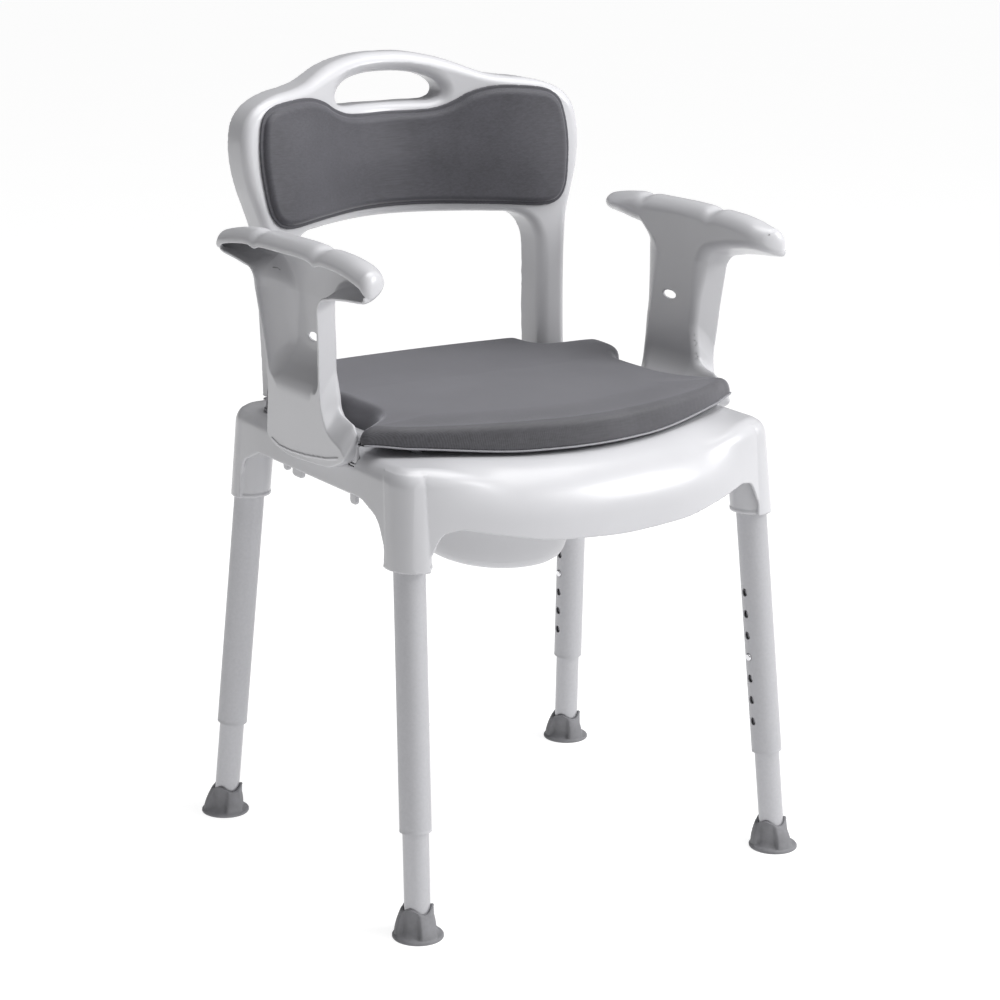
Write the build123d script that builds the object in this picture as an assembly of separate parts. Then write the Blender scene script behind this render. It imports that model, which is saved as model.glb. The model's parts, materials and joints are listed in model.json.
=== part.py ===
from build123d import *
import math
import os

# Commode chair with four height-adjustable legs, lift-off armrests, backrest and
# seat cushion, and a pan that slides out rearwards.
# Frame, in millimetres: +Z up, the sitter faces -Y, +X is the sitter's left.
# The origin is on the floor, at the middle of the chair's footprint box.

# ---- driving dimensions -------------------------------------------------------
SEAT_TOP = 497.0            # top of the moulded seat, at the middle leg setting
SEAT_HALF_WIDTH = 244.0
SEAT_REAR_Y = 178.0
SEAT_NOSE_Y = -259.0        # furthest point of the bowed front apron
SEAT_CORNER_Y = -212.0      # where the bow meets the front corners
SEAT_CORNER_X = 205.0
SEAT_CORNER_R = 34.0
SEAT_EDGE_R = 20.0
SEAT_WALL = 4.0
POST_BOTTOM = 394.0         # lower end of the four corner posts
SIDE_APRON_Z = 453.0
REAR_APRON_Z = 456.0
APERTURE_Y = -8.0
APERTURE_RX, APERTURE_RY = 104.0, 128.0

LEG_FRONT = dict(foot=(238.8, -233.4), slope=(-0.0372, 0.1129))
LEG_REAR = dict(foot=(242.8, 191.0), slope=(-0.0487, -0.0846))
SOCKET_R = 23.5
TUBE_R, TUBE_BORE_R = 17.0, 15.5
TUBE_BOTTOM_Z, TUBE_TOP_Z = 116.2, 484.0
EXTENSION_R, EXTENSION_BORE_R = 14.0, 12.5
EXTENSION_OVERLAP = 200.0   # length of the inner tube inside the outer one
HOLE_PITCH, HOLE_COUNT = 25.0, 7
FIRST_HOLE = 34.3           # lowest hole above the outer tube's end
HOLE_R = 4.6
BUSH_BORE_R = EXTENSION_R + 0.05
BUSH_LENGTH, BUSH_FLANGE = 18.0, 3.0
BUTTON_R, BUTTON_TIP = 4.2, 18.4
BUTTON_HEAD_R, BUTTON_HEAD_OUT, BUTTON_HEAD_IN = 6.0, 10.5, 8.5
SCREW_Z, SCREW_R, SCREW_HEAD_R = 467.0, 1.6, 3.2
SPRING_T, SPRING_HALF_WIDTH = 0.8, 4.0
FOOT_BASE_R, FOOT_TOP_R, FOOT_HEIGHT = 27.5, 17.2, 36.0

ARM_WEB_X = 233.0           # inner face of the armrest's web
ARM_RIM_X = 272.0           # outer rim of the grip
STEM_RIM_X = 264.0          # outer rim of the stem below the grip
ARM_WALL = 3.5
ARM_TOP_Z = 712.0
ARM_TONGUES = ((-109.0, -94.0), (8.0, 32.0), (39.0, 53.0))
TONGUE_X, TONGUE_T, TONGUE_BOTTOM = 234.8, 4.6, 436.0
ARM_INNER_X = 234.5         # inner face of the armrest's base, beside the cushion's ears
ARM_LEDGE_Y = (-76.0, 10.0) # where the base reaches further in, between the ears
STRAP_SLOT = (24.0, 9.0)      # length and height of the slot in the armrest's web
STRAP_SLOT_Y, STRAP_SLOT_Z = -13.0, 605.0

BACK_WALL = 4.0
BACK_RECLINE = 0.11         # backward lean of the uprights, per unit of height
# The curved back's front face at three heights: (height, Y at the middle, how far its
# sides come forward, width over which they do so).
BACK_SECTIONS = (
    (457.0, 205.0, 72.0, 400.0),
    (690.0, 222.0, 76.0, 430.0),
    (900.0, 238.0, 61.5, 478.5),
)
BACK_CURVE_X = (0.0, 60.0, 120.0, 175.0, 232.0)
BACK_DEPTHS = (25.0, 31.0, 36.0, 40.0, 40.0)
BACK_TOP_Z = 868.0
UPRIGHT_IN_X, UPRIGHT_OUT_X = 163.0, 196.0
UPRIGHT_Y = 137.0           # front of the upright's plug at seat height
PLUG_DEPTH = 34.0
PLUG_BOTTOM = 452.0
PLUG_GAP = 0.4              # room round the plug in its sleeve
STUD_R, STUD_HEAD_R, STUD_HEAD_T = 3.9, 6.5, 2.5

CUSHION_BASE_Z = SEAT_TOP + 0.5
CUSHION_BASE_T = 3.0
CUSHION_TOP_Z = 531.0
PEG_R, PEG_STEM_R, PEG_LENGTH, PEG_HOLE_R = 5.4, 3.0, 9.5, 6.0
PAN_RIM_Z = 452.0
PAN_BOTTOM_Z = 329.0
PAN_RIM_HALF = (142.0, 158.0)
PAN_WALL = 2.5
RAIL_X = 151.0              # outer side of the rail's web
RAIL_T = 2.5
RAIL_LENGTH, RAIL_MIDDLE_Y = 280.0, -20.0
RAIL_SCREW_HEAD_R, RAIL_SCREW_LENGTH = 3.4, 5.2

os.makedirs("parts", exist_ok=True)


# ---- helpers ------------------------------------------------------------------
UPRIGHT_PLANE = Plane(origin=(0, 0, 0), x_dir=(1, 0, 0), z_dir=(0, -1, 0))


def save(node, *solids):
    """Write one node, as one solid or as a group of separate solids."""
    shape = solids[0] if len(solids) == 1 else Compound(children=list(solids))
    export_step(shape, f"parts/{node}.step")


def mirrored(points):
    """A closed outline from its right half, which starts and ends on the centre line."""
    return list(points) + [(-x, y) for x, y in reversed(points) if x > 0]


def outline(points, radii=None, plane=Plane.XY):
    """A closed face through the points, with some corners rounded: {point: radius}."""
    face = make_face(Polyline(*points, close=True))
    for point, radius in (radii or {}).items():
        corner = face.vertices().sort_by_distance((point[0], point[1], 0))[0]
        face = fillet(corner, radius)
    return plane * face


def along_x(face_yz, x0, x1):
    return extrude(face_yz, x1 - x0).moved(Location((x0, 0, 0)))


def side_face(points, radii=None):
    """A face drawn as (y, z) points, standing in the plane x = 0."""
    return outline(points, radii, Plane.YZ)


def front_slab(points, radii=None, half_depth=600.0):
    """A wide prism along Y whose section is drawn as (x, z) points."""
    face = outline(points, radii)
    return extrude(UPRIGHT_PLANE * face, half_depth, both=True)


def both_sides(solid):
    return solid, mirror(solid, about=Plane.YZ)


def only_solid(shape):
    return shape.solids().sort_by(SortBy.VOLUME)[-1]


class Leg:
    """The axis of one splayed leg, with distances s measured up it from the floor."""

    def __init__(self, name, spec, side):
        self.name = name
        self.side = side
        foot_x, foot_y = spec["foot"]
        slope_x, slope_y = spec["slope"]
        self.foot = Vector(side * foot_x, foot_y, 0)
        self.up = Vector(side * slope_x, slope_y, 1).normalized()
        inward = Vector(-side, 0, 0)
        self.inward = (inward - self.up * inward.dot(self.up)).normalized()
        to_middle = Vector(0, -math.copysign(1, foot_y), 0)
        self.to_middle = (to_middle - self.up * to_middle.dot(self.up)).normalized()

    def at_height(self, z):
        return z / self.up.Z

    def plane(self, s):
        return Plane(origin=self.foot + self.up * s, x_dir=self.inward, z_dir=self.up)

    def rod(self, radius, s0, s1):
        return extrude(self.plane(s0) * Circle(radius), s1 - s0)

    def pin(self, s, radius, r0, r1, towards=None):
        """A cylinder across the leg from radius r0 to r1, inboard unless told otherwise."""
        towards = towards or self.inward
        start = self.foot + self.up * s + towards * r0
        return extrude(Plane(origin=start, z_dir=towards) * Circle(radius), r1 - r0)

    def screw_pin(self, radius, r0, r1):
        """A piece of the socket screw's axis, which points along the seat's side."""
        return self.pin(self.at_height(SCREW_Z), radius, r0, r1, self.to_middle)


LEGS = [
    Leg("front_left", LEG_FRONT, 1),
    Leg("front_right", LEG_FRONT, -1),
    Leg("rear_left", LEG_REAR, 1),
    Leg("rear_right", LEG_REAR, -1),
]


# ---- legs ---------------------------------------------------------------------
def leg_parts(leg):
    tube_end = leg.at_height(TUBE_BOTTOM_Z)
    tube_top = leg.at_height(TUBE_TOP_Z)
    holes = [tube_end + FIRST_HOLE + i * HOLE_PITCH for i in range(HOLE_COUNT)]
    button_s = holes[HOLE_COUNT // 2]

    tube = leg.rod(TUBE_R, tube_end, tube_top) - leg.rod(TUBE_BORE_R, tube_end, tube_top)
    for s in holes:
        tube -= leg.pin(s, HOLE_R, TUBE_BORE_R - 6, TUBE_R + 3)
    tube -= leg.screw_pin(SCREW_R, TUBE_BORE_R - 4, TUBE_R + 3)
    save(f"leg_tube_{leg.name}", only_solid(tube))

    bush = leg.rod(TUBE_R, tube_end - BUSH_FLANGE, tube_end)
    bush += leg.rod(TUBE_BORE_R, tube_end, tube_end + BUSH_LENGTH)
    bush -= leg.rod(BUSH_BORE_R, tube_end - 10, tube_end + BUSH_LENGTH + 10)
    save(f"leg_bush_{leg.name}", only_solid(bush))

    inner_start = leg.at_height(10)
    inner_end = tube_end + EXTENSION_OVERLAP
    inner = leg.rod(EXTENSION_R, inner_start, inner_end)
    inner -= leg.rod(EXTENSION_BORE_R, inner_start, inner_end)
    inner -= leg.pin(button_s, BUTTON_R + 0.2, 5, 20)
    save(f"leg_extension_{leg.name}", only_solid(inner))

    button = leg.pin(button_s, BUTTON_R, BUTTON_HEAD_OUT, BUTTON_TIP)
    button = fillet(button.edges().sort_by(lambda e: -leg.inward.dot(e.center()))[0], 1.5)
    button += leg.pin(button_s, BUTTON_HEAD_R, BUTTON_HEAD_IN, BUTTON_HEAD_OUT)
    save(f"snap_button_{leg.name}", only_solid(button))
    save(f"button_spring_{leg.name}", only_solid(button_spring(leg, button_s)))

    base = Plane(origin=leg.foot) * Circle(FOOT_BASE_R)
    top = Plane(origin=leg.foot + leg.up * leg.at_height(FOOT_HEIGHT)) * Circle(FOOT_TOP_R)
    lip = extrude(base, 4)
    cone = loft([Plane(origin=leg.foot + Vector(0, 0, 4)) * Circle(FOOT_BASE_R - 1.5), top])
    foot = lip + cone - leg.rod(EXTENSION_R, inner_start, inner_end)
    save(f"foot_{leg.name}", only_solid(foot))


def leg_screw(leg):
    """The screw that holds one outer tube in its socket."""
    shank = leg.screw_pin(SCREW_R, TUBE_BORE_R, SOCKET_R)
    return only_solid(shank + leg.screw_pin(SCREW_HEAD_R, SOCKET_R, SOCKET_R + 2))


def button_spring(leg, s):
    """A bent strip that bears on the button's head and on the tube's far wall."""
    frame = Plane(
        origin=leg.foot + leg.up * s,
        x_dir=leg.inward,
        z_dir=leg.up.cross(leg.inward),
    )
    far, near, tail = -10.5, BUTTON_HEAD_IN - SPRING_T / 2, 34.0
    path = Polyline((near, -5), (near, 8), (far + 5, tail), (far, tail - 6), (far, -12))
    path = fillet(path.vertices()[1:-1], 2.2)
    return extrude(frame * trace(path, SPRING_T), SPRING_HALF_WIDTH, both=True)


# ---- seat ---------------------------------------------------------------------
def seat_plan(inset=0.0):
    """The seat's outline from above: a box with a bowed front."""
    bow = ThreePointArc(
        (-SEAT_HALF_WIDTH, seat_bow_y(SEAT_HALF_WIDTH)),
        (0, SEAT_NOSE_Y),
        (SEAT_HALF_WIDTH, seat_bow_y(SEAT_HALF_WIDTH)),
    )
    rest = Polyline(
        (SEAT_HALF_WIDTH, seat_bow_y(SEAT_HALF_WIDTH)),
        (SEAT_HALF_WIDTH, SEAT_REAR_Y),
        (-SEAT_HALF_WIDTH, SEAT_REAR_Y),
        (-SEAT_HALF_WIDTH, seat_bow_y(SEAT_HALF_WIDTH)),
    )
    face = fillet(make_face([bow, rest]).vertices(), SEAT_CORNER_R)
    return offset(face, -inset, kind=Kind.ARC) if inset else face


def seat_bow_y(x):
    rise = SEAT_CORNER_Y - SEAT_NOSE_Y
    radius = (SEAT_CORNER_X**2 + rise**2) / (2 * rise)
    return SEAT_NOSE_Y + radius - math.sqrt(radius**2 - x**2)


def seat_block(inset=0.0):
    """The seat's outer form, or the same form with all its walls moved inwards."""
    block = extrude(seat_plan(inset), SEAT_TOP - inset - POST_BOTTOM)
    block = block.moved(Location((0, 0, POST_BOTTOM)))
    return fillet(block.faces().sort_by(Axis.Z)[-1].edges(), SEAT_EDGE_R - inset)


def apron_windows():
    """The prisms that cut the apron's lower edge between the corner posts."""
    low = POST_BOTTOM - 10
    side = side_face(
        [(-172, low), (-172, 412), (-158, 440), (-126, SIDE_APRON_Z),
         (108, SIDE_APRON_Z), (136, 437), (140, 420), (140, low)],
        {(-158, 440): 30, (136, 437): 12},
    )
    front = front_slab(
        [(-196, low), (-196, 416), (-165, 428), (-90, 417), (0, 413),
         (90, 417), (165, 428), (196, 416), (196, low)],
        {(-165, 428): 30, (165, 428): 30, (0, 413): 400},
    ) & Box(700, 400, 400).moved(Location((0, -300, POST_BOTTOM)))
    rear = front_slab(
        [(-188, low), (-188, 435), (-170, REAR_APRON_Z), (170, REAR_APRON_Z),
         (188, 435), (188, low)],
    ) & Box(700, 300, 400).moved(Location((0, 250, POST_BOTTOM)))
    return along_x(side, -300, 300), front, rear


def leg_socket(leg):
    bottom = leg.at_height(POST_BOTTOM)
    roof = leg.at_height(SEAT_TOP - SEAT_WALL + 1)
    return leg.rod(SOCKET_R, bottom, roof), leg.rod(TUBE_R, bottom - 5, leg.at_height(TUBE_TOP_Z))


def upright_block(x0, x1, y0, y1, z0, z1):
    """A leaning block: its Y positions are those at seat height."""
    low = [(y + BACK_RECLINE * (z0 - SEAT_TOP), z0) for y in (y0, y1)]
    high = [(y + BACK_RECLINE * (z1 - SEAT_TOP), z1) for y in (y1, y0)]
    return along_x(side_face(low + high), x0, x1)


def seat_frame():
    body = seat_block() - seat_block(SEAT_WALL)
    for window in apron_windows():
        body -= window
    bores = []
    for leg in LEGS:
        post, bore = leg_socket(leg)
        body += post
        bores.append(bore)
    gap = PLUG_GAP
    y0, y1 = UPRIGHT_Y, UPRIGHT_Y + PLUG_DEPTH
    for side in (-1, 1):
        x0, x1 = sorted((side * (UPRIGHT_IN_X + 3), side * (UPRIGHT_OUT_X - 3)))
        body += upright_block(x0 - 4, x1 + 4, y0 - 4, y1 + 4, PLUG_BOTTOM - 4, SEAT_TOP - 1)
        room = upright_block(x0 - gap, x1 + gap, y0 - gap, y1 + gap, PLUG_BOTTOM - 0.5, SEAT_TOP + 9)
        bores.append(room)
        for low, high in ARM_TONGUES:
            centre = side * (TONGUE_X + TONGUE_T / 2)
            slot = Box(TONGUE_T + 1, high - low + 1, 40)
            bores.append(slot.moved(Location((centre, (low + high) / 2, SEAT_TOP))))
    aperture = extrude(Ellipse(APERTURE_RX, APERTURE_RY), 60, both=True)
    bores.append(aperture.moved(Location((0, APERTURE_Y, SEAT_TOP))))
    for x, y in cushion_peg_places():
        bores.append(Cylinder(PEG_HOLE_R, 40).moved(Location((x, y, SEAT_TOP))))
    for x, y in rail_screw_places():
        bores.append(Cylinder(SCREW_R, 6.4).moved(Location((x, y, SEAT_TOP - SEAT_WALL))))
    for leg in LEGS:
        bores.append(leg.screw_pin(SCREW_R, TUBE_R - 2, SOCKET_R + 4))
    for bore in bores:
        body -= bore
    return only_solid(body)


# ---- commode pan and its rails --------------------------------------------------
def rail_screw_places():
    return [(side * (RAIL_X + 9), y) for side in (-1, 1) for y in (-120, -10, 100)]


def pan_rail():
    """One Z-shaped rail: top flange, web and the ledge that the pan's rim slides on."""
    top = SEAT_TOP - SEAT_WALL
    ledge = PAN_RIM_Z - 3.4
    section = [
        (RAIL_X + 16, top), (RAIL_X - RAIL_T, top), (RAIL_X - RAIL_T, ledge),
        (RAIL_X - 15, ledge), (RAIL_X - 15, ledge - 2.6), (RAIL_X, ledge - 2.6),
        (RAIL_X, top - RAIL_T), (RAIL_X + 16, top - RAIL_T),
    ]
    reach = Box(900, RAIL_LENGTH, 900).moved(Location((0, RAIL_MIDDLE_Y, 400)))
    rail = front_slab(section) & reach
    for x, y in rail_screw_places():
        rail -= Cylinder(SCREW_R, 30).moved(Location((abs(x), y, top)))
    return only_solid(rail)


def rail_screws():
    """Screws from below through the rails' flanges into the seat."""
    screws = []
    for x, y in rail_screw_places():
        shank = Cylinder(SCREW_R, RAIL_SCREW_LENGTH, align=(Align.CENTER, Align.CENTER, Align.MIN))
        head = Cylinder(RAIL_SCREW_HEAD_R, 2.0, align=(Align.CENTER, Align.CENTER, Align.MAX))
        place = Location((x, y, SEAT_TOP - SEAT_WALL - RAIL_T))
        screws.append(only_solid((shank + head).moved(place)))
    return screws


def commode_pan():
    levels = [
        (PAN_BOTTOM_Z, 60, 76), (PAN_BOTTOM_Z + 14, 75, 91), (PAN_BOTTOM_Z + 42, 84, 100),
        (PAN_BOTTOM_Z + 80, 100, 117), (PAN_RIM_Z, 118, 135),
    ]

    def bowl(inset):
        rings = [
            Plane(origin=(0, 0, z + (inset if i == 0 else 0))) * Ellipse(rx - inset, ry - inset)
            for i, (z, rx, ry) in enumerate(levels)
        ]
        return loft(rings)

    rim = extrude(RectangleRounded(2 * PAN_RIM_HALF[0], 2 * PAN_RIM_HALF[1], 60), -3)
    pan = bowl(0) + rim.moved(Location((0, 0, PAN_RIM_Z)))
    return only_solid(pan - bowl(PAN_WALL))


# ---- seat cushion ---------------------------------------------------------------
def cushion_peg_places():
    return [(side * 180, y) for side in (-1, 1) for y in (-130, 100)]


def cushion_plan(grow=0.0):
    """The cushion from above: a bowed nose, two ears, a waist between the armrests."""
    side = [
        (140, -174), (224, -141), (234, -127), (204, -97), (193, -72), (193, 18),
        (218, 60), (218, 120), (150, 124), (146, 170),
    ]
    corner_radii = {
        (224, -141): 9, (234, -127): 7, (204, -97): 12, (193, -72): 12, (193, 18): 14,
        (218, 60): 14, (218, 120): 12, (150, 124): 5, (146, 170): 9,
    }
    nose = ThreePointArc((-140, -174), (0, -203), (140, -174))
    rim = Polyline(*side, *[(-x, y) for x, y in reversed(side)])
    face = make_face([nose, rim])
    for (x, y), radius in corner_radii.items():
        for sign in (-1, 1):
            corner = face.vertices().sort_by_distance((sign * x, y, 0))[0]
            face = fillet(corner, radius)
    return offset(face, grow, kind=Kind.ARC) if grow else face


def seat_cushion():
    bottom = CUSHION_BASE_Z + CUSHION_BASE_T
    pad = extrude(cushion_plan(), CUSHION_TOP_Z - bottom).moved(Location((0, 0, bottom)))
    return only_solid(fillet(pad.faces().sort_by(Axis.Z)[-1].edges(), 7))


def cushion_base():
    plate = extrude(cushion_plan(1.0), CUSHION_BASE_T).moved(Location((0, 0, CUSHION_BASE_Z)))
    for x, y in cushion_peg_places():
        plate -= Cylinder(PEG_STEM_R, 10).moved(Location((x, y, CUSHION_BASE_Z)))
    return only_solid(plate)


def cushion_pegs():
    pegs = []
    for x, y in cushion_peg_places():
        foot = Cylinder(PEG_R, PEG_LENGTH, align=(Align.CENTER, Align.CENTER, Align.MAX))
        stem = Cylinder(PEG_STEM_R, CUSHION_BASE_T, align=(Align.CENTER, Align.CENTER, Align.MIN))
        pegs.append(only_solid((foot + stem).moved(Location((x, y, CUSHION_BASE_Z)))))
    return pegs


# ---- armrests -------------------------------------------------------------------
def arm_outline(grow=0.0):
    """The T-shaped outline of the grip and stem, as (y, z)."""
    points = [
        (-62, 540), (-66, 668), (-169, 673), (-177, 688), (-157, 704), (-66, ARM_TOP_Z - 1),
        (45, ARM_TOP_Z), (122, 703), (145, 688), (128, 676), (54, 667), (50, 540),
    ]
    radii = {
        (-66, 668): 14, (-169, 673): 6, (-177, 688): 10, (-157, 704): 30,
        (122, 703): 30, (145, 688): 8, (54, 667): 14,
    }
    face = side_face(points, radii)
    return offset(face, grow, kind=Kind.ARC) if grow else face


def armrest():
    """The armrest on the +X side: a tray open outwards, on a saddle with tongues."""
    grip = along_x(arm_outline(), ARM_WEB_X, ARM_RIM_X)
    grip = chamfer(grip.edges().filter_by(Plane.YZ).group_by(Axis.X)[0], 3)
    hollow = along_x(arm_outline(-ARM_WALL), ARM_WEB_X + ARM_WALL, ARM_RIM_X + 5)
    grip -= hollow - Box(200, 400, 20).moved(Location((ARM_RIM_X, 0, 546)))
    grip -= Box(40, 140, 120).moved(Location((STEM_RIM_X + 20, -5, 592)))

    base_front = front_slab(
        [(198, 470), (198, 501), (222, 512), (ARM_WEB_X, 552), (264, 552), (261, 520), (252, 470)],
        {(222, 512): 20},
    )
    base_side = along_x(side_face(
        [(46, 548), (58, 508), (59, 487), (32, 474), (-27, 475), (-70, 481), (-107, 490),
         (-112, 497), (-111, 511), (-92, 521), (-68, 548)],
        {(59, 487): 10, (32, 474): 20, (-92, 521): 18},
    ), 100, 300)
    cavity = front_slab(
        [(206, 480), (206, 501), (226, 514), (ARM_WEB_X + ARM_WALL, 548), (260, 548), (257, 520),
         (249, 480)],
    ) & Box(200, 163, 200).moved(Location((230, -37.5, 510)))
    base = (base_front & base_side) - cavity
    for y, reach in zip(ARM_LEDGE_Y, (-1, 1)):
        base -= Box(100, 200, 200).moved(Location((ARM_INNER_X - 50, y + reach * 100, 500)))
    base -= seat_block(-0.5)
    arm = grip + base
    for low, high in ARM_TONGUES:
        tongue = Box(TONGUE_T, high - low, 506 - TONGUE_BOTTOM)
        middle = (TONGUE_X + TONGUE_T / 2, (low + high) / 2, (506 + TONGUE_BOTTOM) / 2)
        root = Box(26, high - low, 5).moved(Location((TONGUE_X + 13, middle[1], 503.5)))
        arm += tongue.moved(Location(middle)) + root
    slot = extrude(Plane.YZ * SlotOverall(*STRAP_SLOT), 15, both=True)
    return only_solid(arm - slot.moved(Location((ARM_WEB_X, STRAP_SLOT_Y, STRAP_SLOT_Z))))


# ---- backrest -------------------------------------------------------------------
def back_curve(section, shifts):
    """The back's plan curve at one height, with its points moved rearwards by shifts."""
    _, middle, bow, width = section
    half = []
    for x, shift in zip(BACK_CURVE_X, shifts):
        forward = bow * math.sin(math.pi * min(x, width / 2) / width) ** 2
        half.append((x, middle - forward + shift))
    return Spline(*[(-x, y) for x, y in reversed(half[1:])], *half)


def back_slab(near_shift, far_shift=None):
    """A curved leaning wall from near_shift behind the back's front face to far_shift.

    With no far_shift it reaches the back's rear face, where the wall is deepest at the sides.
    """
    faces = []
    count = len(BACK_CURVE_X)
    for section in BACK_SECTIONS:
        near = back_curve(section, [near_shift] * count)
        far = back_curve(section, BACK_DEPTHS if far_shift is None else [far_shift] * count)
        ends = [Line(near @ 0, far @ 0), Line(near @ 1, far @ 1)]
        faces.append(Plane(origin=(0, 0, section[0])) * make_face([near, far, *ends]))
    return loft(faces, ruled=True)


def back_outline():
    right = [
        (0, BACK_TOP_Z), (50, 866), (90, 855), (121, 841), (150, 836), (192, 832), (216, 814),
        (225, 772), (212, 708), (202, 660), (UPRIGHT_OUT_X, SEAT_TOP),
        (UPRIGHT_IN_X, SEAT_TOP), (UPRIGHT_IN_X + 3, 660), (138, 681), (0, 681),
    ]
    rounds = {
        (50, 866): 60, (121, 841): 30, (192, 832): 24, (216, 814): 24,
        (225, 772): 50, (UPRIGHT_IN_X + 3, 660): 14, (138, 681): 20,
    }
    radii = {(s * x, z): r for (x, z), r in rounds.items() for s in (-1, 1)}
    return mirrored(right), radii


def slot_outline(grow=0.0):
    """The carrying slot under the arch, which may be drawn larger all round."""
    half, bottom, top = 72 + grow, 811 - grow, 846 + grow
    points = [(0, top), (26, top - 0.5), (50, top - 6), (half, 825), (61, bottom), (0, bottom)]
    radii = {(s * half, 825): 8 for s in (-1, 1)}
    return mirrored(points), radii


def backrest_frame():
    points, radii = back_outline()
    shell = front_slab(points, radii) & back_slab(0)
    inner = offset(outline(points, radii), -BACK_WALL, kind=Kind.ARC)
    core = extrude(UPRIGHT_PLANE * inner, 600, both=True)
    core -= front_slab(*slot_outline(BACK_WALL))
    core &= back_slab(BACK_WALL, 80)
    shell -= front_slab(*slot_outline())
    shell -= core
    y0, y1 = UPRIGHT_Y, UPRIGHT_Y + PLUG_DEPTH
    for side in (-1, 1):
        x0, x1 = sorted((side * (UPRIGHT_IN_X + 3), side * (UPRIGHT_OUT_X - 3)))
        plug = upright_block(x0, x1, y0, y1, PLUG_BOTTOM, SEAT_TOP + 14)
        plug -= upright_block(x0 + 4, x1 - 4, y0 + 4, y1 - 4, PLUG_BOTTOM - 1, SEAT_TOP + 4)
        shell += plug
    for x, z in back_stud_places():
        hole = Cylinder(STUD_R + 0.1, 200, rotation=(90, 0, 0))
        shell -= hole.moved(Location((x, 200, z)))
    return only_solid(shell)


def back_stud_places():
    return [(side * 130, z) for side in (-1, 1) for z in (715, 800)]


def back_pad():
    right = [
        (0, 806), (60, 806), (102, 824), (140, 828), (190, 823), (203, 800), (204, 765), (197, 705),
        (182, 689), (130, 692), (0, 691),
    ]
    rounds = {(60, 806): 24, (102, 824): 30, (190, 823): 14, (182, 689): 12, (204, 765): 60}
    radii = {(s * x, z): r for (x, z), r in rounds.items() for s in (-1, 1)}
    pad = front_slab(mirrored(right), radii) & back_slab(-11.0, -0.3)
    return only_solid(pad)


def back_studs():
    """Four push-in studs behind the back pad, each with a shank through the shell."""
    studs = []
    for x, z in back_stud_places():
        shank = Cylinder(STUD_R, 200, rotation=(90, 0, 0)).moved(Location((x, 200, z)))
        head = Cylinder(STUD_HEAD_R, 200, rotation=(90, 0, 0)).moved(Location((x, 200, z)))
        shank &= back_slab(-0.3, BACK_WALL + 1)
        head &= back_slab(BACK_WALL + 0.2, BACK_WALL + 0.2 + STUD_HEAD_T)
        studs.append(only_solid(shank + head))
    return studs


# ---- write every node ------------------------------------------------------------
for leg in LEGS:
    leg_parts(leg)
save("leg_screws", *[leg_screw(leg) for leg in LEGS])
save("seat_frame", seat_frame())

left_rail, right_rail = both_sides(pan_rail())
save("pan_rail_left", left_rail)
save("pan_rail_right", right_rail)
save("rail_screws", *rail_screws())
save("commode_pan", commode_pan())

save("seat_cushion", seat_cushion())
save("seat_cushion_base", cushion_base())
save("seat_cushion_pegs", *cushion_pegs())

left_arm, right_arm = both_sides(armrest())
save("armrest_left", left_arm)
save("armrest_right", right_arm)

save("backrest_frame", backrest_frame())
save("back_pad", back_pad())
save("back_pad_studs", *back_studs())
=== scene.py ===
import json
import math

import bpy
import numpy as np
from mathutils import Matrix, Vector


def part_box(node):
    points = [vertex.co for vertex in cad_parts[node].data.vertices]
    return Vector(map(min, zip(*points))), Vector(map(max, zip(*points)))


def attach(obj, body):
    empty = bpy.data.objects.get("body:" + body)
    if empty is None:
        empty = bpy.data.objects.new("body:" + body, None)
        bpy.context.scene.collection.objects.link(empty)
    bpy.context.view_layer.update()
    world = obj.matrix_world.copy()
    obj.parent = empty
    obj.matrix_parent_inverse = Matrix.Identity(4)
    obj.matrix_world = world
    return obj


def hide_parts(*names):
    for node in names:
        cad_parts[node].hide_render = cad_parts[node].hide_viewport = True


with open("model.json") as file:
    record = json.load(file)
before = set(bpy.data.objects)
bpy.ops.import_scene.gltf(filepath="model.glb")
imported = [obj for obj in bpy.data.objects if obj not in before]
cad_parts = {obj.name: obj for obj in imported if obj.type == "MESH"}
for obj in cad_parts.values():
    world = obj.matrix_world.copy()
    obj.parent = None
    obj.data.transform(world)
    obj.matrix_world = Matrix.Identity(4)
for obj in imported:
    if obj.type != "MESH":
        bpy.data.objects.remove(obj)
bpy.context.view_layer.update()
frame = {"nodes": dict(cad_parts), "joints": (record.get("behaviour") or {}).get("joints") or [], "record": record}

# Every shape below is worked out in millimetres in the frame of the CAD model and
# written to its mesh in metres. The moulded shells are fields: negative inside the
# plastic, positive outside, with blends that give each edge its own radius.
MM = 0.001


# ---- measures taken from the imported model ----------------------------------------
def node_box(name):
    low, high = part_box(name)
    return np.array(low) / MM, np.array(high) / MM


pan_low, pan_high = node_box("commode_pan")
PLATE_BOTTOM = node_box("seat_cushion_base")[0][2]
POST_BOTTOM = node_box("seat_frame")[0][2]
SEAT_TOP = PLATE_BOTTOM - 0.5       # the lid's plate lies just above the seat
WALL = 4.0                          # thickness of the seat's and the backrest's shells
ARM_WALL = 3.5                      # thickness of the armrests' shells
PEG_X, PEG_YS = 180.0, (-130.0, 100.0)

# each tongue under an armrest: from y, to y, and the height of its tip
TONGUES = ((-106, -93, 441), (9, 31, 443.5), (40, 51, 445.5))
TONGUE_X = (234.8, 239.4)

joints = {joint["name"]: joint for joint in frame["joints"]}
LEGS = {}
for mount in frame["record"]["mounts"]:
    if mount["name"].startswith("foot_rest_"):
        leg = mount["name"][len("foot_rest_"):]
        down = np.array(joints["leg_slide_" + leg]["axis"])
        LEGS[leg] = (np.array(mount["pos_m"]) / MM, -down / np.linalg.norm(down))


# ---- field helpers -----------------------------------------------------------------
def smoothstep(value, low, high):
    t = np.clip((value - low) / (high - low), 0, 1)
    return t * t * (3 - 2 * t)


def lerp(a, b, t):
    return a + (b - a) * t


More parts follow.
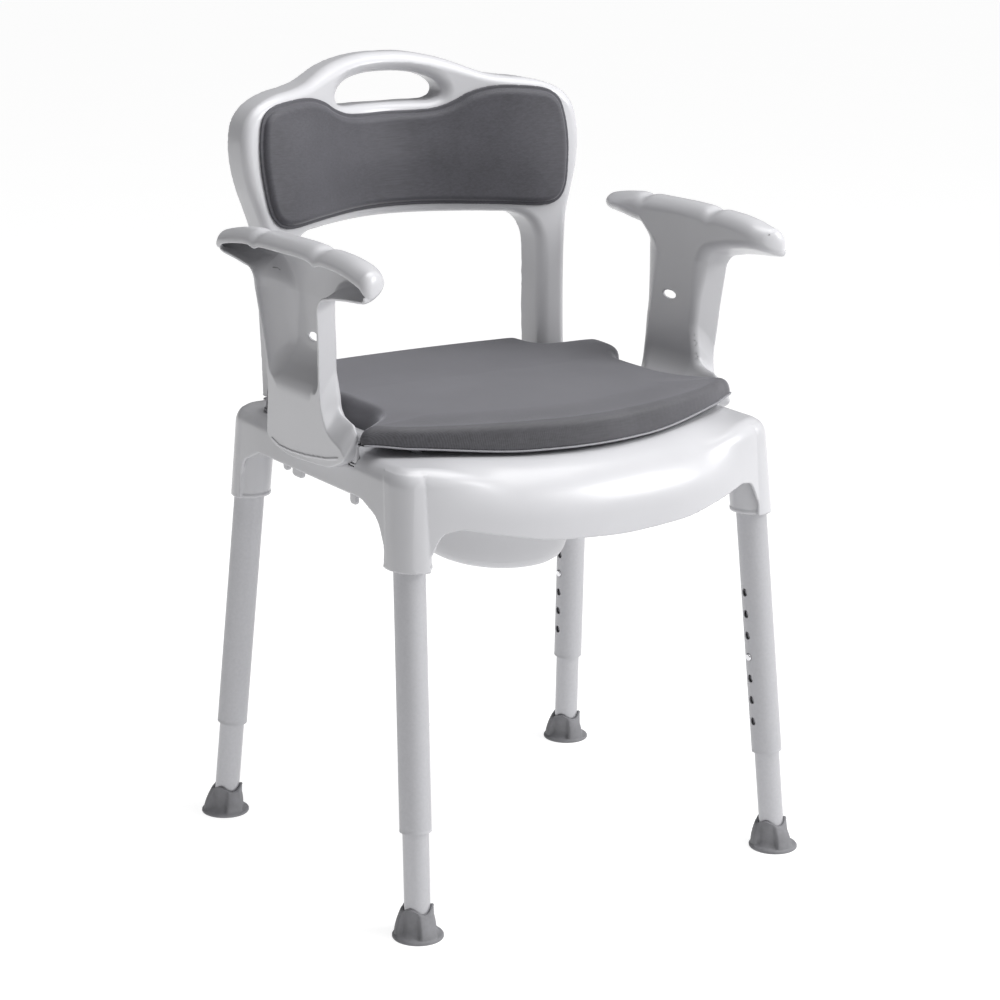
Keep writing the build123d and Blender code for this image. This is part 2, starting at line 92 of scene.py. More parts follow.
def meet(a, b, r=1.0):
    """What is inside both fields, with its outer edge rounded to radius r."""
    return np.minimum(-r, np.maximum(a, b)) + np.hypot(np.maximum(r + a, 0), np.maximum(r + b, 0))


def join(a, b, r=1.0):
    """What is inside either field, with a fillet of radius r."""
    return -meet(-a, -b, r)


def cut(a, b, r=1.0):
    return meet(a, -b, r)


def slab(value, low, high):
    return np.maximum(low - value, value - high)


def rounded(points, steps=8):
    """A closed polyline from (u, v) or (u, v, radius) points, with arcs at its corners."""
    out = []
    count = len(points)
    for i, point in enumerate(points):
        p = np.array(point[:2], float)
        r = point[2] if len(point) > 2 else 0
        a = np.array(points[i - 1][:2], float) - p
        b = np.array(points[(i + 1) % count][:2], float) - p
        la, lb = np.linalg.norm(a), np.linalg.norm(b)
        a, b = a / la, b / lb
        half = math.acos(max(-1.0, min(1.0, float(a @ b)))) / 2
        if r <= 0 or half > math.pi / 2 - 0.02:
            out.append(p)
            continue
        reach = min(r / math.tan(half), 0.49 * min(la, lb))
        r = reach * math.tan(half)
        middle = p + (a + b) / np.linalg.norm(a + b) * (r / math.sin(half))
        start, end = p + a * reach - middle, p + b * reach - middle
        for k in range(steps + 1):
            t = k / steps
            ray = start * (1 - t) + end * t
            out.append(middle + ray / np.linalg.norm(ray) * r)
    return np.array(out)


def curved(points, steps=8):
    """A smooth closed polyline through the points, by centripetal Catmull-Rom spans."""
    p = np.array(points, float)
    out = []
    for i in range(len(p)):
        a, b, c, d = p[i - 1], p[i], p[(i + 1) % len(p)], p[(i + 2) % len(p)]
        t0 = 0.0
        t1 = t0 + np.linalg.norm(b - a) ** 0.5
        t2 = t1 + np.linalg.norm(c - b) ** 0.5
        t3 = t2 + np.linalg.norm(d - c) ** 0.5
        for t in np.linspace(t1, t2, steps, endpoint=False):
            ab = lerp(a, b, (t - t0) / (t1 - t0))
            bc = lerp(b, c, (t - t1) / (t2 - t1))
            cd = lerp(c, d, (t - t2) / (t3 - t2))
            abc = lerp(ab, bc, (t - t0) / (t2 - t0))
            bcd = lerp(bc, cd, (t - t1) / (t3 - t1))
            out.append(lerp(abc, bcd, (t - t1) / (t2 - t1)))
    return np.array(out)


def both_halves(points):
    """A closed outline, symmetric in its first coordinate, from its right half."""
    left = [(-p[0], *p[1:]) for p in reversed(points) if p[0] > 0]
    return list(points) + left


class Outline:
    """Signed distance to a closed polyline, kept on a fine grid and read between its points."""

    def __init__(self, points, margin=40.0, step=1.0):
        self.step = step
        low = points.min(0) - margin
        high = points.max(0) + margin
        self.low = low
        nu, nv = (np.ceil((high - low) / step) + 1).astype(int)
        u = (low[0] + step * np.arange(nu))[:, None]
        v = (low[1] + step * np.arange(nv))[None, :]
        near = np.full((nu, nv), 1e9)
        inside = np.zeros((nu, nv), bool)
        for a, b in zip(points, np.roll(points, -1, axis=0)):
            edge = b - a
            length = max(float(edge @ edge), 1e-12)
            t = np.clip(((u - a[0]) * edge[0] + (v - a[1]) * edge[1]) / length, 0, 1)
            near = np.minimum(near, (u - a[0] - t * edge[0]) ** 2 + (v - a[1] - t * edge[1]) ** 2)
            if a[1] != b[1]:
                crosses = (a[1] > v) != (b[1] > v)
                inside ^= crosses & (u < edge[0] * (v - a[1]) / edge[1] + a[0])
        near = np.sqrt(near)
        self.table = np.where(inside, -near, near).astype(np.float32)

    def __call__(self, u, v):
        fu = np.clip((u - self.low[0]) / self.step, 0, self.table.shape[0] - 1.001)
        fv = np.clip((v - self.low[1]) / self.step, 0, self.table.shape[1] - 1.001)
        i, j = fu.astype(int), fv.astype(int)
        s, t = fu - i, fv - j
        i, j, s, t = np.broadcast_arrays(i, j, s, t)
        d = self.table
        low = d[i, j] * (1 - t) + d[i, j + 1] * t
        high = d[i + 1, j] * (1 - t) + d[i + 1, j + 1] * t
        return low * (1 - s) + high * s


# ---- from a field to a mesh -----------------------------------------------------------
def gradient(field, p, step=0.6):
    out = np.empty_like(p)
    for axis in range(3):
        plus, minus = p.copy(), p.copy()
        plus[:, axis] += step
        minus[:, axis] -= step
        out[:, axis] = (field(*plus.T) - field(*minus.T)) / (2 * step)
    return out


def settle(field, p, rounds=3, most=0.9):
    """Move points along the field's slope until they lie on its surface."""
    start = p.copy()
    for _ in range(rounds):
        slope = gradient(field, p)
        move = -field(*p.T)[:, None] * slope / np.maximum((slope**2).sum(1), 0.2)[:, None]
        p = p + move
        away = p - start
        length = np.linalg.norm(away, axis=1)
        p = start + away * np.minimum(1, most / np.maximum(length, 1e-9))[:, None]
    return p


def surface(field, low, high, step):
    """Vertices and quads of a field's surface, one vertex in each grid cell that it crosses."""
    axes = [np.arange(a - step, b + 2 * step, step) for a, b in zip(low, high)]
    x, y, z = np.ix_(*axes)
    values = np.broadcast_to(field(x, y, z), [len(a) for a in axes]).astype(np.float32)
    inside = values < 0
    corners = [(i, j, k) for i in (0, 1) for j in (0, 1) for k in (0, 1)]

    def at(array, corner):
        return array[tuple(slice(c, n - 1 + c) for c, n in zip(corner, array.shape))]

    total = sum(at(inside, c).astype(np.int8) for c in corners)
    cells = np.argwhere((total > 0) & (total < 8))
    index = np.full(total.shape, -1, np.int64)
    index[tuple(cells.T)] = np.arange(len(cells))
    spot = np.zeros((len(cells), 3))
    weight = np.zeros(len(cells))
    for a in corners:
        for b in corners:
            if sum(b) - sum(a) != 1 or sum(abs(p - q) for p, q in zip(a, b)) != 1:
                continue
            fa = at(values, a)[tuple(cells.T)]
            fb = at(values, b)[tuple(cells.T)]
            crossed = (fa < 0) != (fb < 0)
            t = np.where(crossed, fa / np.where(fa == fb, 1, fa - fb), 0)
            place = np.array(a) + t[:, None] * (np.array(b) - np.array(a))
            spot += np.where(crossed[:, None], place, 0)
            weight += crossed
    spot = (cells + spot / weight[:, None]) * step + np.array([a[0] for a in axes])
    quads = []
    for axis in range(3):
        others = [a for a in range(3) if a != axis]
        lower = [slice(1, -1)] * 3
        upper = [slice(1, -1)] * 3
        lower[axis], upper[axis] = slice(0, -1), slice(1, None)
        first, second = inside[tuple(lower)], inside[tuple(upper)]
        ring = []
        for du, dv in ((0, 0), (1, 0), (1, 1), (0, 1)):
            where = [slice(None)] * 3
            for other, shift in zip(others, (du, dv)):
                where[other] = slice(shift, index.shape[other] - 1 + shift)
            ring.append(index[tuple(where)])
        for flag, order in ((first & ~second, (0, 1, 2, 3)), (~first & second, (3, 2, 1, 0))):
            if axis == 1:
                order = order[::-1]
            quads.append(np.stack([ring[k][flag] for k in order], axis=1))
    return spot, np.concatenate(quads)


def relax(points, quads, field, rounds=2):
    """Even out the quads a little and bring the vertices back to the surface."""
    edges = np.concatenate([quads[:, [i, (i + 1) % 4]] for i in range(4)])
    edges = np.unique(np.sort(edges, axis=1), axis=0)
    count = np.bincount(edges.ravel(), minlength=len(points))[:, None]
    for _ in range(rounds):
        total = np.zeros_like(points)
        for axis in range(3):
            total[:, axis] = np.bincount(edges[:, 0], points[edges[:, 1], axis], len(points))
            total[:, axis] += np.bincount(edges[:, 1], points[edges[:, 0], axis], len(points))
        points = settle(field, lerp(points, total / np.maximum(count, 1), 0.5), 2)
    return points


def link(obj, smooth=True):
    bpy.context.scene.collection.objects.link(obj)
    if smooth:
        obj.data.shade_smooth()
    return obj


def mesh_object(name, points, faces):
    data = bpy.data.meshes.new(name)
    if isinstance(faces, np.ndarray):
        faces = faces.tolist()
    data.from_pydata((np.asarray(points) * MM).tolist(), [], faces)
    data.validate()
    data.update()
    return link(bpy.data.objects.new(name, data))


def vertices(data):
    flat = np.empty(len(data.vertices) * 3)
    data.vertices.foreach_get("co", flat)
    return flat.reshape(-1, 3)


def moulded(name, field, low, high, step, faces=60000, mirror=False):
    """A piece from its field: meshed, thinned where it is flat, and shaded by the field's slope."""
    points, quads = surface(field, np.array(low, float), np.array(high, float), step)
    points = relax(points, quads, field)
    obj = mesh_object(name, points, quads)
    thin = obj.modifiers.new("thin", "DECIMATE")
    thin.ratio = min(1.0, faces / (2 * len(quads)))
    graph = bpy.context.evaluated_depsgraph_get()
    data = bpy.data.meshes.new_from_object(obj.evaluated_get(graph))
    obj.modifiers.clear()
    obj.data = data
    points = settle(field, vertices(data) / MM, 3, 0.6)
    normals = gradient(field, points)
    normals /= np.maximum(np.linalg.norm(normals, axis=1), 1e-9)[:, None]
    if mirror:
        points[:, 0] *= -1
        normals[:, 0] *= -1
        data.flip_normals()
    data.vertices.foreach_set("co", (points * MM).ravel())
    data.update()
    data.shade_smooth()
    data.normals_split_custom_set_from_vertices(normals.tolist())
    obj.name = name
    return obj


# ---- backrest ---------------------------------------------------------------------------
# the back's front face at three heights: z, y at the middle plane, bow and width
BACK_WAYS = ((457, 205, 72, 400), (690, 222, 76, 430), (900, 238, 61.5, 478.5))
BACK_LEAN = 0.11                    # of the uprights' plugs, rearwards
UPRIGHT_IN, UPRIGHT_OUT = 163.0, 196.0
PLUG_FRONT, PLUG_REAR = 137.0, 171.0


def back_face(x, z):
    """Y of the curved back's front face, which bows rearwards at the middle."""
    low, mid, high = (centre - bow * np.sin(np.pi * np.minimum(abs(x), width / 2) / width) ** 2
                      for _, centre, bow, width in BACK_WAYS)
    z_low, z_mid, z_high = (way[0] for way in BACK_WAYS)
    below, above = (mid - low) / (z_mid - z_low), (high - mid) / (z_high - z_mid)
    rise = z - z_mid
    bend = (rise + np.hypot(rise, 30)) / 2
    return mid + below * rise + (above - below) * bend


def back_depth(x):
    return 25 + 15 * np.sin(np.pi / 2 * np.minimum(abs(x) / 190, 1))


def into_back(x, y, z):
    """Distance behind the back's front face, square to it."""
    slope = 0.52 * np.sin(2 * np.pi * np.minimum(abs(x), 215) / 430)
    return (y - back_face(x, z)) / np.hypot(1, slope)


back_outline = Outline(curved(both_halves([
    (0, 868.5), (26, 867.8), (51, 864.5), (72, 860), (90, 854), (106, 847.5), (121, 842), (143, 838),
    (170, 835), (193, 828.5), (208, 820), (218, 808), (223.5, 790), (224.5, 765), (220, 736),
    (211.5, 709), (203, 680), (199, 640), (197, 590), (UPRIGHT_OUT, 540), (UPRIGHT_OUT, 500),
    (UPRIGHT_OUT, 494), (190, 494), (168, 494), (UPRIGHT_IN, 494), (UPRIGHT_IN, 500), (UPRIGHT_IN, 540),
    (164, 590), (165.5, 630), (163.5, 655), (155, 672), (140, 680), (115, 681.5), (60, 681.5),
    (0, 681.5),
])))
slot_outline = Outline(curved(both_halves([
    (0, 846), (26, 845), (50, 840.5), (65, 833.5), (72, 825), (70, 816.5), (61, 811.8), (30, 811), (0, 811),
]), steps=6))
back_pad_outline = Outline(curved(both_halves([
    (0, 802), (40, 802), (61, 804.5), (80, 811.5), (97, 821), (121, 828), (155, 828.5), (185, 823.5),
    (198, 813), (204, 793), (206, 766), (203.5, 736), (198.5, 711), (191, 698), (177, 690.5),
    (120, 691), (50, 692), (0, 692),
])))


def backrest(x, y, z):
    """The backrest's shell, hollow at the rear, with a hollow plug under each upright."""
    edge = cut(back_outline(x, z), slot_outline(x, z), 5)
    depth = into_back(x, y, z)
    radius = 11 + 6 * smoothstep(z, 828, 858)
    outer = meet(meet(edge, -depth, radius), depth - back_depth(x), 1.2)
    core = meet(edge + WALL, WALL - depth, radius - WALL)
    shell = meet(cut(outer, core, 1.0), SEAT_TOP + 0.3 - z, 1.0)
    upright_y = y - BACK_LEAN * (z - SEAT_TOP)
    plug = meet(slab(abs(x), UPRIGHT_IN + 3, UPRIGHT_OUT - 3), slab(upright_y, PLUG_FRONT, PLUG_REAR), 3)
    plug = meet(plug, slab(z, 452, SEAT_TOP + 14), 1.5)
    inner = meet(slab(abs(x), UPRIGHT_IN + 3 + WALL, UPRIGHT_OUT - 3 - WALL),
                 slab(upright_y, PLUG_FRONT + WALL, PLUG_REAR - WALL), 2)
    plug = cut(plug, np.maximum(inner, z - SEAT_TOP - 4), 1)
    return np.minimum(shell, plug)


def back_pad(x, y, z):
    """The back pad: a crowned body with a rolled shoulder on a thin welded lip."""
    edge = back_pad_outline(x, z)
    out = -into_back(x, y, z)
    crown = 1.6 * smoothstep(-edge, 10, 60)
    body = meet(edge + 4.2, out - 9.2 - crown, 7)
    lip = meet(edge, out - 3.2, 1.4)
    return meet(join(body, lip, 0.8), 0.2 - out, 0.6)


# ---- seat ---------------------------------------------------------------------------------
SOCKET_R, SOCKET_BORE_R = 23.3, 17.4
PLUG_PLAY = 0.4
APERTURE_RX, APERTURE_RY, APERTURE_Y = 104.0, 128.0, -8.0


def seat_form(x, y, z):
    """The seat's outer form: a bowed front that rolls over into the top."""
    across = abs(x)
    lower = -260 + 46 * (np.minimum(across, 215) / 215) ** 2.3
    front = lower + 0.12 * (z - 413) - y
    side = across - (244 - 0.045 * (z - 440))
    rear = y - (178 - 0.07 * (z - 440))
    corner = smoothstep(across, 120, 212)
    top = z - (SEAT_TOP - 4 * (1 - smoothstep(across, 60, 190)) * smoothstep(-y, 120, 200))
    walls = meet(meet(front, side, 30), rear, 30)
    tight = np.maximum(corner, smoothstep(y, -170, -60))
    return lerp(meet(walls, top, 58), meet(walls, top, 19), tight)


side_window = Outline(rounded([
    (-172, 340), (-172, 412, 20), (-158, 439, 34), (-122, 453, 30), (100, 453, 20), (134, 438, 14),
    (141, 420, 14), (141, 340),
]))
front_window = Outline(rounded([
    (-214, 340), (-214, 406, 8), (-201, 431, 14), (-182, 435, 20), (-150, 428, 40), (-90, 417, 200),
    (0, 413, 400), (90, 417, 200), (150, 428, 40), (182, 435, 20), (201, 431, 14), (214, 406, 8),
    (214, 340),
]))
rear_window = Outline(rounded([
    (-190, 340), (-190, 430, 20), (-170, 456, 20), (170, 456, 20), (190, 430, 20), (190, 340),
]))


def leg_radius(x, y, z, leg):
    """Distance from a leg's axis."""
    foot, up = LEGS[leg]
    dx, dy, dz = x - foot[0], y - foot[1], z - foot[2]
    along = dx * up[0] + dy * up[1] + dz * up[2]
    return np.sqrt(np.maximum((dx - along * up[0]) ** 2 + (dy - along * up[1]) ** 2
                              + (dz - along * up[2]) ** 2, 1e-9))


def seat_shell(x, y, z):
    """The +X half of the seat; the -X half is its mirror image."""
    x = abs(x)
    hull = seat_form(x, y, z)
    windows = np.minimum(side_window(y, z), np.maximum(front_window(x, z), y + 110))
    windows = np.minimum(windows, np.maximum(rear_window(x, z), 60 - y))
    shell = cut(cut(hull, windows, 1.5), hull + WALL, 1.2)

    # a socket in each post, with a lip at its mouth and a bore for the leg tube
    from_axis = np.minimum(leg_radius(x, y, z, "front_left"), leg_radius(x, y, z, "rear_left"))
    lip = 0.8 * (1 - smoothstep(z, POST_BOTTOM + 3, POST_BOTTOM + 5))
    sockets = np.maximum(from_axis - SOCKET_R - lip, z - SEAT_TOP + 6)
    solid = join(shell, np.maximum(sockets, hull + 0.2), 2.5)
    solid = meet(solid, POST_BOTTOM - z, 1.0)
    solid = cut(solid, np.maximum(from_axis - SOCKET_BORE_R, z - 474), 1.0)

    # a sleeve round each of the backrest's plugs
    upright_y = y - BACK_LEAN * (z - SEAT_TOP)
    sleeve = meet(slab(x, UPRIGHT_IN - 1, UPRIGHT_OUT + 1),
                  slab(upright_y, PLUG_FRONT - WALL, PLUG_REAR + WALL), 3)
    solid = join(solid, meet(sleeve, slab(z, 448, SEAT_TOP - 1), 1), 1.5)
    hole = meet(slab(x, UPRIGHT_IN + 3 - PLUG_PLAY, UPRIGHT_OUT - 3 + PLUG_PLAY),
                slab(upright_y, PLUG_FRONT - PLUG_PLAY, PLUG_REAR + PLUG_PLAY), 2)
    solid = cut(solid, np.maximum(hole, 451.5 - z), 1.0)

    # the aperture over the pan, the armrests' slots and the lid's peg holes
    mouth = (np.hypot(x / APERTURE_RX, (y - APERTURE_Y) / APERTURE_RY) - 1) * 112
    solid = cut(solid, np.maximum(mouth, 470 - z), 1.8)
    for low, high, _ in TONGUES:
        gap = np.maximum(slab(x, TONGUE_X[0] - 0.5, TONGUE_X[1] + 0.5), slab(y, low - 0.5, high + 0.5))
        solid = np.maximum(solid, -np.maximum(gap, 478 - z))
    for peg_y in PEG_YS:
        hole = np.maximum(np.hypot(x - PEG_X, y - peg_y) - 6, 478 - z)
        solid = np.maximum(solid, -hole)
    return solid


# ---- armrests --------------------------------------------------------------------------------
GRIP_FRONT, GRIP_REAR = -177.5, 145.0
GRIP_CORNERS = (-147, 111)          # where the grip's inner face starts to curve outwards
GRIP_END_R = 34.0                   # radius of that curve
GRIP_R = 17.5                       # half the grip's height
GRIP_OUT = 273.4                    # the grip's outer side
GRIP_UNDER_Y = (-177, -160, -136, -112, -90, -60, 20, 40, 55, 77, 99, 145)
GRIP_UNDER_Z = (681, 679, 677, 674, 669, 660, 660, 670, 679, 681, 684, 688)
STEM_FRONT, STEM_REAR = -61.5, 28.0
FLARE = 29.5                        # width over which the stem's flanges curl outwards
FOOT_Y = (-119, -70, -27, 8, 34, 62)
FOOT_Z = (493, 481, 475, 472.5, 473, 482)
FOOT_INNER_X = 234.4
STRAP_SLOT_Y, STRAP_SLOT_Z = -13.0, 605.0
STRAP_SLOT_RY, STRAP_SLOT_RZ = 12.0, 4.6

CREST = np.array([
    (-200, 686), (-187, 694), (-176, 700), (-160, 704.5), (-142, 709), (-121, 711.5), (-97, 712.5),
    (-66, 713.5), (-38, 714), (-9, 713.5), (29, 712.5), (58, 712), (78, 710.5), (108, 706.5),
    (134, 701), (148, 695), (160, 688),
])
FINGER_GROOVES = ((-76, 3.6), (54, 3.2))
GROOVE_WIDTH = 9.0


def smooth_crest():
    """The grip's crest line, evened out, with a shallow dip at each finger groove."""
    line = np.arange(-215.0, 176.0)
    height = np.interp(line, CREST[:, 0], CREST[:, 1])
    for _ in range(3):
        height = np.convolve(np.pad(height, 6, "edge"), np.ones(13) / 13, "valid")
    for groove_y, depth in FINGER_GROOVES:
        height -= depth * np.exp(-((line - groove_y) / GROOVE_WIDTH) ** 2)
    return line, height


crest_line, crest_height = smooth_crest()


def crest(y):
    return np.interp(y, crest_line, crest_height)


saddle_outline = Outline(rounded([
    (-54, 560), (-61, 550, 6), (-67, 535, 14), (-84, 529.5, 24), (-100, 528, 12), (-107.5, 518, 6),
    (-107.5, 513, 8), (-101, 480, 4), (-101, 420), (62, 420), (61.5, 492, 10), (57, 506, 20),
    (48, 529, 30), (40, 549), (37, 560),
]))


def arm_tee(x, y, z, out, curl):
    """Stem and grip seen from the side: a T that widens outwards, most at its rear."""
    front_y = STEM_FRONT - 10 * out - 0.075 * (z - 605)
    reach = np.interp(z, (549, 560, 584, 620, 650), (12, 15.5, 19.5, 26, 31))
    steep = reach * 0.053 * np.cos(np.pi / 2 * np.minimum(out, 1))
    walls = meet(front_y - y, (y - STEM_REAR - curl * reach) / np.hypot(1, steep), 1)
    under = np.interp(y, GRIP_UNDER_Y, GRIP_UNDER_Z) - 10 * smoothstep(x, 236, 270)
    return meet(join(walls, under - z, 12), slab(y, GRIP_FRONT, GRIP_REAR), 7)


def arm_saddle(x, y, z, out, curl, foot_z):
    """The flared foot seen from the side; its rear tucks in and its front falls outwards."""
    behind = smoothstep(y, -20, 15)
    tuck = 31 * (1 - curl) * behind
    fall = 1.4 * np.clip(x - 238, 0, 22) * smoothstep(-y, 56, 72)
    sheared = np.hypot(1, 1.86 * np.cos(np.pi / 2 * np.minimum(out, 1)) * behind)
    return meet(saddle_outline(y + tuck, z + fall) / sheared, foot_z - z, 7)


def half_oval(x, z, middle, half, height, side, shoulder):
    """An oval top on straight sides; the oval's centre is at z = 0."""
    oval = (np.hypot((x - middle) / half, z / height) - 1) * np.minimum(half, height)
    return np.minimum(oval, np.maximum(side, z - shoulder))


def armrest(x, y, z):
    """The armrest on the +X side: a T-shaped tray open outwards, on a flared saddle."""
    # how far out the piece reaches, and where its inner face is
    rim = np.interp(z, (476, 530, 560, 600, 650, 690), (252.5, 258.5, 261.5, 264, 268.5, 272.7))
    web = np.interp(z, (480, 550, 650, 690), (229, 231, 235.5, 235))
    toes = np.maximum(smoothstep(-y, 58, 76), smoothstep(y, 30, 46)) * (1 - smoothstep(z, 540, 600))
    past_corner = np.maximum(slab(y, *GRIP_CORNERS), 0)
    root = np.sqrt(np.maximum(GRIP_END_R**2 - past_corner**2, 10**2))
    level = root / GRIP_END_R
    inner = lerp(web, FOOT_INNER_X, toes) + GRIP_END_R - root
    face = (inner - x) * level

    # the outline seen from the side
    out = np.clip((x - web) / FLARE, 0, 1.3)
    curl = np.sin(np.pi / 2 * np.minimum(out, 1)) ** 1.15
    foot_z = np.interp(y, FOOT_Y, FOOT_Z)
    tee = arm_tee(x, y, z, out, curl)
    saddle = arm_saddle(x, y, z, out, curl, foot_z)
    side_view = np.where(z > 600, tee, join(np.maximum(tee, 490 - z), saddle, 20))

    # the outer form: the side view under the grip's half oval, with a ledge beside the lid
    above = z - crest(y) + GRIP_R
    half, middle = (GRIP_OUT - inner) / 2, (GRIP_OUT + inner) / 2
    cap = half_oval(x, above, middle, half, GRIP_R, face, 0)
    radius = 8 + 3 * smoothstep(z, 600, 640)
    body = meet(side_view, cap, radius)
    ledge = meet(meet(slab(y, -74, 8), slab(x, 198, 250), 9), slab(z, 494, 506), 2.5)
    body = join(body, ledge, 36)
    body = meet(body, x - rim, 1.4)
    body = np.maximum(body, 0.5 - seat_form(x, y, z))
    body = np.maximum(body, np.where((x < 240.5) & (y > -90), 497.6 - z, -9.0))

    # the tray inside the tee, down to a sloping shelf, and the hollow under the saddle
    shelf = (551 + (262 - x) * 1.3 - z) / 1.64
    dish = half_oval(x, above, middle, np.maximum(half - 3 / level, 1), GRIP_R - 2.9, face + ARM_WALL, 1)
    tray = meet(meet(tee + ARM_WALL, dish, radius - 3), shelf, 11)
    soft = 1 + 6 * (1 - smoothstep(z, 560, 580)) * (1 - smoothstep(abs(y + 10), 34, 44))
    arm = cut(body, tray, soft)
    hollow = meet(side_view + ARM_WALL, np.maximum(x - rim, face) + ARM_WALL, 3)
    arm = cut(arm, np.maximum(hollow, ARM_WALL - shelf), 1.0)

    # a bead round the foot, the tongues, and the slot in the web
    bead = np.hypot(x - rim - 0.2, z - foot_z - 4.5) - 1.1
    arm = join(arm, np.maximum(bead, slab(y, -95, 50)), 0.8)
    for low, high, tip in TONGUES:
        blade = meet(slab(y, low, high), slab(z, tip, 508), 4)
        arm = np.minimum(arm, meet(blade, slab(x, *TONGUE_X), 1.0))
    across_slot = np.hypot((y - STRAP_SLOT_Y) / STRAP_SLOT_RY, (z - STRAP_SLOT_Z) / STRAP_SLOT_RZ)
    slot = (across_slot - 1) * STRAP_SLOT_RZ
    return cut(arm, np.maximum(slot, x - 250), 1.0)


# ---- seat cushion -----------------------------------------------------------------------------
cushion_outline = Outline(curved(both_halves([
    (0, -204), (30, -202.5), (60, -197.5), (90, -191), (120, -182.5), (160, -168), (200, -149.5),
    (226, -135), (238, -127.5), (243.5, -119.5), (240.5, -113), (227, -105.5), (207, -91.5),
    (198, -78),
    (193, -62), (191, -30), (191, 8), (194, 26), (203, 41), (216, 53), (226, 71), (229, 94), (228, 112),
    (222, 121), (210, 124.5), (170, 125.5), (156, 128), (149, 138), (147, 155), (143.5, 167), (134, 172.5),
    (100, 174.5), (50, 176), (0, 176.5),
]), steps=6))


def cushion_floor(x, y):
    """The underside rises towards the front ears, which stand clear of the seat."""
    ears = smoothstep(abs(x), 70, 215) * smoothstep(-y, 20, 140)
    tips = smoothstep(abs(x), 195, 240) * smoothstep(-y, 60, 120)
    return PLATE_BOTTOM + 0.2 + 8.0 * ears + 3.5 * tips


def cushion_roof(x, y):
    """The top is level at the waist, rises a little to the rear and droops to the nose."""
    to_edge = -cushion_outline(x, y)
    droop = 2.5 * (1 - smoothstep(to_edge, 8, 60)) * smoothstep(-y, 80, 150)
    crown = 1.2 * np.cos(np.pi * np.clip(x / 230, -1, 1) / 2)
    return 530.0 + crown + 0.014 * np.maximum(y - 25, 0) - droop


def seat_cushion(x, y, z):
    """The padded lid, with a tighter shoulder along the front than at its ears."""
    edge = cushion_outline(x, y)
    floor, roof = cushion_floor(x, y), cushion_roof(x, y)
    front = smoothstep(-y, 70, 110)
    side = edge + 1.0 + 0.10 * (z - floor)
    shoulder = lerp(9.5, 8.5, front) + 6 * smoothstep(abs(x), 205, 240) * front
    body = meet(side, z - roof, shoulder)
    return meet(body, floor + 1.4 - z, 1.2)


def cushion_plate(x, y, z):
    """The thin plate under the lid, which shows as a lip round it."""
    floor = cushion_floor(x, y)
    return meet(cushion_outline(x, y) - 0.7, slab(z, floor, floor + 1.9), 0.7)


def cushion_pegs(x, y, z):
    """Four turned pegs, from inside the plate down into the seat's holes."""
    pegs = None
    for peg_y in PEG_YS:
        off = np.hypot(abs(x) - PEG_X, y - peg_y)
        floor = cushion_floor(PEG_X, peg_y)
        peg = meet(off - 5.4, slab(z, PLATE_BOTTOM - 9.5, floor + 0.4), 1.0)
        pegs = peg if pegs is None else np.minimum(pegs, peg)
    return pegs


# ---- turned and lofted pieces -------------------------------------------------------------------
def ring_mesh(name, rings, capped=(True, True)):
    """A closed skin through rings of points; each ring has the same number of points."""
    count = len(rings[0])
    points = np.concatenate(rings)
    faces = []
    for r in range(len(rings) - 1):
        a, b = r * count, (r + 1) * count
        faces += [(a + i, a + (i + 1) % count, b + (i + 1) % count, b + i) for i in range(count)]
    if capped[0]:
        faces.append(tuple(range(count))[::-1])
    if capped[1]:
        faces.append(tuple(range(len(points) - count, len(points))))
    return mesh_object(name, points, faces)


BASE_TOP = 3.9                      # of a foot's flared base


def foot(leg, count=96):
    """A rubber foot with three scooped sides, a thin flared base and a rim that dips between scoops."""
    start, up = LEGS[leg]
    turn = np.arange(count) * 2 * np.pi / count
    wave = np.cos(3 * (turn - np.pi / 2))
    scoop = smoothstep(wave, -0.45, 0.15)
    top = 31.0 + 3.0 * wave
    rings = []

    def ring(radius, height):
        height = height + 0 * turn
        lean = height[:, None] / up[2] * up[None, :]
        flat = np.stack([radius * np.cos(turn), radius * np.sin(turn), 0 * turn], axis=1)
        rings.append(start + lean + flat)

    base = ((12.0, 0.0), (24.0, 0.0), (27.0, 0.0), (27.5, 0.7), (27.5, 2.2), (26.8, 3.2), (25.6, BASE_TOP))
    for radius, height in base:
        ring(radius + 0 * turn, height)
    for share in (0.02, 0.05, 0.09, 0.15, 0.24, 0.35, 0.48, 0.62, 0.76, 0.88, 0.96):
        cone = 25.4 - 7.4 * share**1.7
        dished = 18.2 - 1.0 * share + 5.2 * np.exp(-(share / 0.10) ** 1.3)
        ring(lerp(cone, np.minimum(dished, cone), scoop), BASE_TOP + (top - BASE_TOP) * share)
    for radius, drop in ((17.5, -0.3), (16.9, 0.2), (16.0, 0.4), (15.0, 0.1), (14.3, -0.8), (14.1, -2.2)):
        ring(radius + 0 * turn, top + drop)
    ring(14.1 + 0 * turn, 12.0)
    ring(6.0 + 0 * turn, 11.5)
    return ring_mesh("foot_" + leg + "_moulded", rings)


